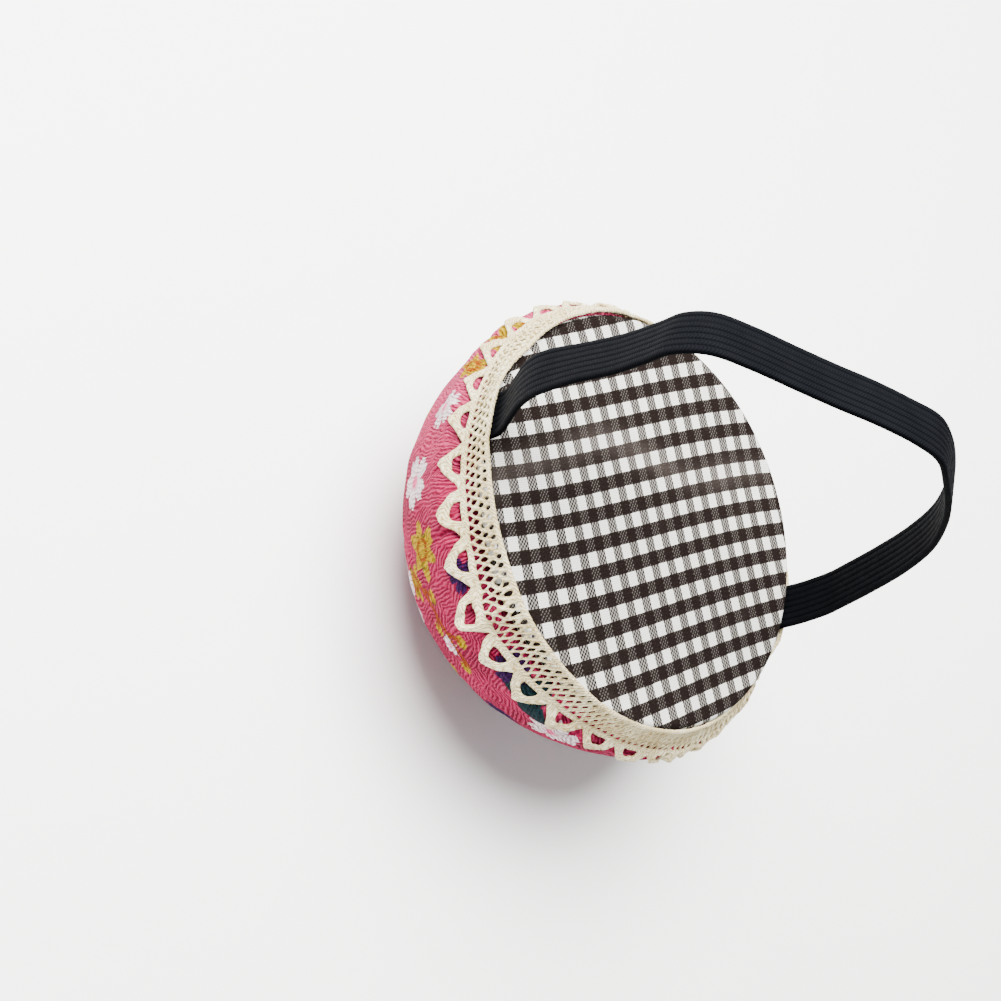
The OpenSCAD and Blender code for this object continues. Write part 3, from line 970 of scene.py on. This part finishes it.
def cut_lace():
    """The flat lace as a grid: places along and across it, distances inside its thread, and its cells."""
    f, du, dv = (np.tile(part, (SCALLOPS, 1)) for part in lace_pattern())
    cols = SCALLOPS * LACE_U
    cell = LACE_W / (LACE_V - 1)
    u = np.arange(cols)[:, None] / LACE_U * LACE_REPEAT
    v = np.linspace(0, LACE_W, LACE_V)[None]
    # The net is denser where the lace isn't pulled out round its crumpled place
    close = 1 - 0.9 * np.exp(-((np.arange(cols)[:, None] / cols * 360 - CRUMPLE_AT - 6) / 26) ** 2)
    f = f + 0.07 * close * smoothstep(v - 0.6) * (1 - smoothstep(v - LACE_BAND + 0.8))
    inside = f > 0
    corner = inside | np.roll(inside, -1, 0)
    keep = corner[:, :-1] | corner[:, 1:]
    # Points just outside the thread are drawn in to its edge
    reach = np.clip(-f / np.maximum(du**2 + dv**2, 0.05), 0, None)
    u = u + np.where(inside, 0, np.clip(reach * du, -cell, cell))
    v = v + np.where(inside, 0, np.clip(reach * dv, -cell, cell))
    uneven = 0.13 * (1 + 2.5 * np.exp(-((u / LACE_LENGTH * 360 - CRUMPLE_AT) / 8) ** 2))
    pull_u, pull_v = (uneven * noise(u / 1.5, v / 1.3, seed, SCALLOPS * 5) for seed in (66, 67))
    u, v = u + pull_u, np.maximum(v + pull_v * smoothstep(v / 1.5), 0)
    f = np.where(inside, f, 0)
    f[:, [0, -1]] = 0
    return u, v, f, keep


def hang_lace(u, v, dome_points):
    """Where the lace goes: angle, radius and height, and the direction out of it as radius and height."""
    phi = u / LACE_LENGTH * TURN
    phi = phi + 0.006 * ring_noise(phi, v / 3, 62, 40)
    section, at = resampled(smooth_route(LACE_SECTION), 0.1)
    section = section + [BASE_R, FACE_Z]
    order = np.degrees(phi) % 360
    top_z = FACE_Z + round_rim(LACE_TOPS, order) + 0.18 * ring_noise(phi, 0 * phi, 63, 30)
    low_z = FACE_Z + round_rim(LACE_TIPS, order)
    start, end = (np.interp(height, section[::-1, 1], at[::-1]) for height in (top_z, low_z))
    along = start + (end - start) * v / LACE_W
    slope = unit(np.gradient(section, axis=0))
    r, z, out_r, out_z = (np.interp(along, at, values) for values in (*section.T, -slope[:, 1], slope[:, 0]))

    r = np.where(z < SEAM_Z, np.maximum(r, dome_radius(dome_points, phi, z) + LACE_CLEAR), r)
    crumple = np.exp(-((order - CRUMPLE_AT) / 7) ** 2)
    wrinkle = ring_noise(phi, v / 2.2, 64, 96)
    r = r + crumple * (0.8 + 0.9 * wrinkle) * smoothstep(v / 2.5)
    ruffle = 0.16 * ring_noise(phi, v / 4, 65, 62) * smoothstep((v - 6) / 3)
    r = r - 1.15 * round_rim(LACE_HUG, order) * (1 - smoothstep(v / 4.5))
    return phi, r + 0.08 + np.maximum(ruffle, -0.05), z, out_r, out_z


def make_lace(dome_points, material):
    """The lace: openwork rounded like thread, standing round the rim and lying on the dome."""
    u, v, f, keep = cut_lace()
    phi, r, z, out_r, out_z = hang_lace(u, v, dome_points)
    half = LACE_HALF_T * np.sqrt(1 - (1 - np.clip(f / 0.42, 0, 1)) ** 2)
    half = half * (1 + 0.3 * noise(u / 0.5, v / 0.5, 61, SCALLOPS * 15))

    def side(sign):
        """Points of the lace's front or back."""
        radius = r + sign * half * out_r
        height = z + sign * half * out_z
        return np.stack([radius * np.cos(phi), radius * np.sin(phi), height], -1).reshape(-1, 3)

    # Front and back share the points where the thread has no thickness
    index = np.arange(f.size).reshape(f.shape)
    back = np.where(f > 0, index + f.size, index)
    beside, back_beside = np.roll(index, -1, 0), np.roll(back, -1, 0)
    front = np.stack([index[:, :-1], beside[:, :-1], beside[:, 1:], index[:, 1:]], -1)[keep]
    rear = np.stack([back[:, :-1], back[:, 1:], back_beside[:, 1:], back_beside[:, :-1]], -1)[keep]
    points = np.vstack([side(1), side(-1)])
    faces = np.vstack([front, rear])
    used = np.unique(faces)
    new = np.full(len(points), -1)
    new[used] = np.arange(len(used))
    lace = new_mesh("cotton_lace", points[used], new[faces].tolist())
    coords = np.stack([u, v, np.clip(f, 0, 1)], -1).reshape(-1, 3)
    set_field(lace, "lace", np.vstack([coords, coords])[used])
    finish_piece(lace, "cushion", "lace", material, "lace_trim")
    cotton_area(coords[front]) * MM * MM


def cotton_area(cells):
    """Area of the flat cells of the lace, from their corners; the last column goes on at the first."""
    one, two = cells[:, 2] - cells[:, 0], cells[:, 3] - cells[:, 1]
    for diagonal in (one, two):
        diagonal[:, 0] = (diagonal[:, 0] + LACE_LENGTH / 2) % LACE_LENGTH - LACE_LENGTH / 2
    return np.abs(one[:, 0] * two[:, 1] - one[:, 1] * two[:, 0]).sum() / 2


# Section of the lace, [radius past the base, height above the face]
LACE_SECTION = [(1.5, 5), (1.5, 1), (1.55, -2.6), (2.0, -4), (2.8, -5.1), (3.4, -6.4),
                (3.5, -8), (3.2, -10), (2.7, -13), (2.0, -16)]
# Angle round the rim and height of the lace's top edge from the face
LACE_TOPS = [(0, -1.9), (40, -1.7), (75, -1.3), (100, -0.2), (118, 0.5), (135, 0.9), (160, 1.5),
             (180, 2.3), (205, 3.0), (224, 3.2), (250, 2.9), (270, 2.2), (288, 1.1), (300, 0.1),
             (315, -1.1), (330, -1.9), (360, -1.9)]
# Angle round the rim and height of the scallop tips from the face
LACE_TIPS = [(0, -11.2), (40, -11), (90, -9), (130, -7.2), (165, -6.4), (182, -6.6), (193, -7),
             (206, -7.6), (218, -8.5), (232, -9.7), (247, -9.0), (258, -8.1), (269, -7.6),
             (300, -9), (330, -10.6), (360, -11.2)]
# Angle round the rim and how closely the lace's top hugs the rim; it stands off round the elastic
LACE_HUG = [(0, -0.4), (9, -0.4), (20, 0.95), (90, 1.06), (135, 1.06), (156, 0.95), (168, -0.2),
            (172, -0.45), (188, -0.45), (194, 0), (235, 0), (262, 0.5), (285, 0.95), (300, 1.1),
            (340, 1.1), (351, -0.4), (360, -0.4)]
# Angle round the rim at which the lace is crumpled
CRUMPLE_AT = 228


def dome_radius(points, phi, z):
    """How far out the dome's surface is at an angle and a height."""
    radius = np.linalg.norm(points[..., :2], axis=-1)
    rows = np.arange(len(points))[points[:, :, 2].mean(1) > 8]
    heights = points[rows, :, 2].mean(1)
    order = np.argsort(heights)
    rows, heights = rows[order], heights[order]
    row = np.interp(z, heights, rows)
    i = np.clip(np.floor(row).astype(int), 0, len(points) - 2)
    t = row - i
    j = np.floor((phi % TURN) / TURN * DOME_COLS).astype(int) % DOME_COLS
    return radius[i, j] * (1 - t) + radius[i + 1, j] * t


def make_dab(material):
    """The drop of glue where the ends of the lace meet: a rounded, uneven bead."""
    low, high = np.array(corners("lace_glue_dab"))
    middle = (low + high) / 2
    out = unit(middle * (1, 1, 0))
    side = np.array([-out[1], out[0], 0])
    up = np.array([0, 0, 1.0])
    radius, height = (high[2] - low[2]) / 2, 0.8
    rings, cols = 14, 36
    angle = (np.arange(cols) / cols * TURN)[:, None]
    around = side * np.cos(angle) + up * np.sin(angle)
    grid = []
    for t in np.arange(rings) / (rings - 1):
        lift = height * (math.sin(t * math.pi / 2) - 0.5)
        spread = radius * math.cos(t * math.pi / 2) ** 0.8 + 0.02
        uneven = 1 + 0.12 * noise(np.arange(cols) / 6, np.full(cols, t * 3.0), 71, cols // 6)
        grid.append(middle + out * lift + spread * uneven[:, None] * around)
    ends = middle - out * height / 2, middle + out * height / 2
    dab = new_mesh("lace_join_glue", *closed_rings(np.array(grid), *ends))
    finish_piece(dab, "cushion", "glue", material, "lace_glue_dab")


# ---------- elastic ----------

STRAP_T = 1.1
RIBS = 7
# Points across one rib
RIB_STEPS = 6
# Where the hidden ends stop and how high they lie, how far past the base the roots stand, and the
# radius of their bend
TAB_X = 22
TAB_Z = SEAM_Z + (GLUE_TOP - SEAM_Z) / 2
STRAP_OUT = 0.8
STRAP_BEND = 1.9
# How far the elastic is twisted about its own line on its way up and over, in degrees
STRAP_TWIST = -14
# Route of the elastic above the face, [x, height above the face], from the left root to the right
LOOP_ROUTE = [
    (-34.8, 1), (-34.85, 3), (-35.6, 5.2), (-37.2, 8.5), (-38.9, 12.5), (-39.5, 17),
    (-38.4, 24), (-37.2, 30), (-36.8, 36), (-36.6, 41), (-34, 45), (-28.5, 47.3),
    (-22, 49.1), (-15.5, 51), (-9.4, 53), (-3.2, 54.4), (2, 54.8), (7, 52.7),
    (13.4, 48.5), (18.4, 44), (23.2, 38), (27.2, 30), (30.4, 21), (32.8, 13),
    (33.9, 9), (34.6, 4), (34.8, 1),
]


def strap_line():
    """Middle line of the whole elastic in the XZ plane, and the distance along it."""
    x = BASE_R + STRAP_OUT - STRAP_BEND
    left = [(-TAB_X, TAB_Z)] + arc((-x, TAB_Z + STRAP_BEND), STRAP_BEND, 270, 180, 6)
    right = arc((x, TAB_Z + STRAP_BEND), STRAP_BEND, 0, -90, 6) + [(TAB_X, TAB_Z)]
    loop = smooth_route([(p[0], FACE_Z + p[1]) for p in LOOP_ROUTE])
    return resampled(np.vstack([left, loop, right]), 0.4)


def strap_section(half_w, thickness, ribs):
    """Closed outline across the elastic: [y, height, place across one rib from -1 to 1]."""
    count = ribs * RIB_STEPS
    w = np.linspace(-1, 1, count + 1)
    rib = ((w + 1) / 2 * ribs) % 1 * 2 - 1
    rib[-1] = 1
    crest = (1 - np.abs(rib) ** 2.4) ** 0.5
    edge = np.sqrt(np.clip(1 - np.abs(w) ** 14, 0, 1))
    h = thickness / 2 * (0.70 + 0.30 * crest) * (0.35 + 0.65 * edge)
    top = np.stack([w * half_w, h, rib], 1)
    bottom = np.stack([w[::-1] * half_w, -h[::-1], rib[::-1]], 1)
    return np.vstack([top, bottom])


def make_band(name, part, half_w, thickness, ribs, offset_y=0.0):
    """A ribbed band swept along part of the strap's line, closed at both ends."""
    line, normal, twist, at = part
    section = strap_section(half_w, thickness, ribs)
    n = len(section)
    knit = 1 + 0.05 * np.sin(at * TURN / 0.9)[:, None] * (1 - np.abs(section[:, 2]))[None]
    side = (section[:, 0] + offset_y)[None]
    height = section[None, :, 1] * knit
    c, d = np.cos(twist)[:, None], np.sin(twist)[:, None]
    lift = side * d + height * c
    points = np.stack([line[:, 0, None] + normal[:, 0, None] * lift, side * c - height * d,
                       line[:, 1, None] + normal[:, 1, None] * lift], -1)
    faces = [f[::-1] for f in grid_faces(len(line), n, True).tolist()]
    half = n // 2
    caps = np.arange(2 * n) + len(line) * n
    for first, flip in ((0, False), (n, True)):
        for k in range(half - 1):
            quad = [caps[first + k], caps[first + k + 1], caps[first + n - 2 - k], caps[first + n - 1 - k]]
            faces.append([int(v) for v in (quad[::-1] if flip else quad)])
    band = new_mesh(name, np.vstack([points.reshape(-1, 3), points[0], points[-1]]), faces)
    coords = np.zeros((len(line) + 2, n, 3))
    coords[..., 0] = section[None, :, 0]
    coords[:-2, :, 1] = at[:, None]
    coords[-2:, :, 1] = at[[0, -1], None]
    coords[..., 2] = section[None, :, 2]
    set_field(band, "band", coords.reshape(-1, 3))
    return band


def join_meshes(name, objects):
    """One object from several, with its points and fields kept."""
    bpy.ops.object.select_all(action="DESELECT")
    for obj in objects:
        obj.select_set(True)
    bpy.context.view_layer.objects.active = objects[0]
    bpy.ops.object.join()
    objects[0].name = name
    return objects[0]


# Heights at which the elastic passes from one body's part to the next one's; they are handed to finish_piece, which
# leaves these pieces on no body
SWING_START, SWING_END = HINGE_Z - 2.5, LOOP_CUT - 3
STRETCH_START, STRETCH_END = LOOP_CUT + 1, LOOP_CUT + 30


def make_strap(jacket, strand_rubber):
    """The elastic, jacket and rubber strands, in a left root, a right root and the loop between them."""
    line, at = strap_line()
    heading = unit(np.gradient(line, axis=0))
    normal = np.stack([-heading[:, 1], heading[:, 0]], 1)
    hinge = at[np.argmax(line[:, 1] > HINGE_Z + 2)]
    crest = at[np.argmax(line[:, 1])]
    twist = smoothstep((at - hinge - 6) / 14) * (1 - smoothstep((at - crest + 6) / 16))
    whole = np.hstack([line, normal, np.radians(STRAP_TWIST) * twist[:, None], at[:, None]])
    above = np.flatnonzero(line[:, 1] >= LOOP_CUT)
    first, last = above[0], above[-1]

    def crossing(low, high):
        """The point at the height of the cut, between two neighbours."""
        t = (LOOP_CUT - line[low, 1]) / (line[high, 1] - line[low, 1])
        return whole[low] + t * (whole[high] - whole[low])

    left_cut, right_cut = crossing(first - 1, first), crossing(last + 1, last)
    runs = {
        "left": np.vstack([whole[:first], left_cut]),
        "right": np.vstack([right_cut, whole[last + 1:]]),
        "loop": np.vstack([left_cut, whole[first:last + 1], right_cut]),
    }
    parts = {key: (run[:, :2], run[:, 2:4], run[:, 4], run[:, 5]) for key, run in runs.items()}
    swing = ("cushion", "strap", (0, 0, SWING_START * MM), (0, 0, SWING_END * MM))
    stretch = ("strap", "strap_crown", (0, 0, STRETCH_START * MM), (0, 0, STRETCH_END * MM))
    half_w = STRAP_W / 2
    for name, nodes in (("left", ("strap_end_left", "strap_leg_left")),
                        ("right", ("strap_end_right", "strap_leg_right")),
                        ("loop", ("strap_loop",))):
        band = make_band("elastic_" + name, parts[name], half_w, STRAP_T, RIBS)
        finish_piece(band, stretch if name == "loop" else swing, "elastic", jacket, *nodes)
    strand_pitch = (STRAP_W - 1.2) / RIBS
    for name, sides, nodes in (("rubber_roots", ("left", "right"), ("end_strands", "leg_strands")),
                               ("rubber_loop", ("loop",), ("loop_strands",))):
        strands = []
        for part in sides:
            for k in range(RIBS):
                y = (k - (RIBS - 1) / 2) * strand_pitch
                strands.append(make_band("strand", parts[part], 0.3, 0.4, 1, y))
        body = stretch if name == "rubber_loop" else swing
        finish_piece(join_meshes(name, strands), body, "strand_rubber", strand_rubber, *nodes)


# ---------- the whole object ----------

glue, thread = glue_material(), thread_material()
dome = dome_surface()
make_cover(*dome, crepe_material())
make_filling(dome[0], wadding_material())
make_base_cloth(checked_material())
make_lace(dome[0], lace_material())
make_dab(glue)
make_strap(elastic_material(), rubber_material())

for node, material in (("cover_gather_thread", thread), ("base_gather_thread", thread),
                       ("glue_layer", glue), ("base_board", card_material())):
    kept = frame["nodes"][node]
    kept.data.materials.clear()
    kept.data.materials.append(material)


# ---------- floor, lights and camera ----------

FLOOR_HALF, FLOOR_Z = 900, -0.05
floor_corners = [(x * FLOOR_HALF, y * FLOOR_HALF, FLOOR_Z) for x, y in ((-1, -1), (1, -1), (1, 1), (-1, 1))]
floor = new_mesh("floor", floor_corners, [(0, 1, 2, 3)], smooth=False)
floor.data.materials.append(floor_material())

# The camera's own axes and its place, at the photograph's viewpoint
RIGHT = Vector((0.72991, 0.19341, 0.65561))
UP = Vector((-0.43401, 0.87212, 0.22592))
BACK = Vector((-0.52807, -0.44944, 0.72051))
LOOK_AT = Vector((0, 0, FACE_Z)) * MM
CAMERA_AT = LOOK_AT + Vector((-178.886, -138.735, 203.904)) * MM


def soft_light(name, right, up, back, distance, size, watts, colour=(1, 1, 1)):
    """An area light placed by the directions of the view, looking at the middle of the base."""
    light = bpy.data.lights.new(name, "AREA")
    light.shape = "DISK"
    light.size = size
    light.energy = watts
    light.color = colour
    obj = bpy.data.objects.new(name, light)
    bpy.context.scene.collection.objects.link(obj)
    towards = (RIGHT * right + UP * up + BACK * back).normalized()
    obj.location = LOOK_AT + towards * distance
    obj.rotation_euler = towards.to_track_quat("Z", "Y").to_euler()


soft_light("window", 0.35, 0.60, 0.70, 0.75, 0.72, 49.0, (1.0, 0.99, 0.97))
soft_light("fill", -0.7, 0.1, 0.8, 1.0, 0.9, 4.0, (0.97, 0.98, 1.0))

world = bpy.data.worlds.new("studio")
world.use_nodes = True
background = world.node_tree.nodes["Background"].inputs
background["Color"].default_value = (0.95, 0.96, 1.0, 1)
background["Strength"].default_value = 0.6
bpy.context.scene.world = world

camera_data = bpy.data.cameras.new("camera")
camera_data.sensor_width = 36
camera_data.lens = 68.33
camera_data.clip_start = 0.01
camera = bpy.data.objects.new("camera", camera_data)
camera.matrix_world = Matrix.Translation(CAMERA_AT) @ Matrix((RIGHT, UP, BACK)).transposed().to_4x4()
bpy.context.scene.collection.objects.link(camera)
bpy.context.scene.camera = camera
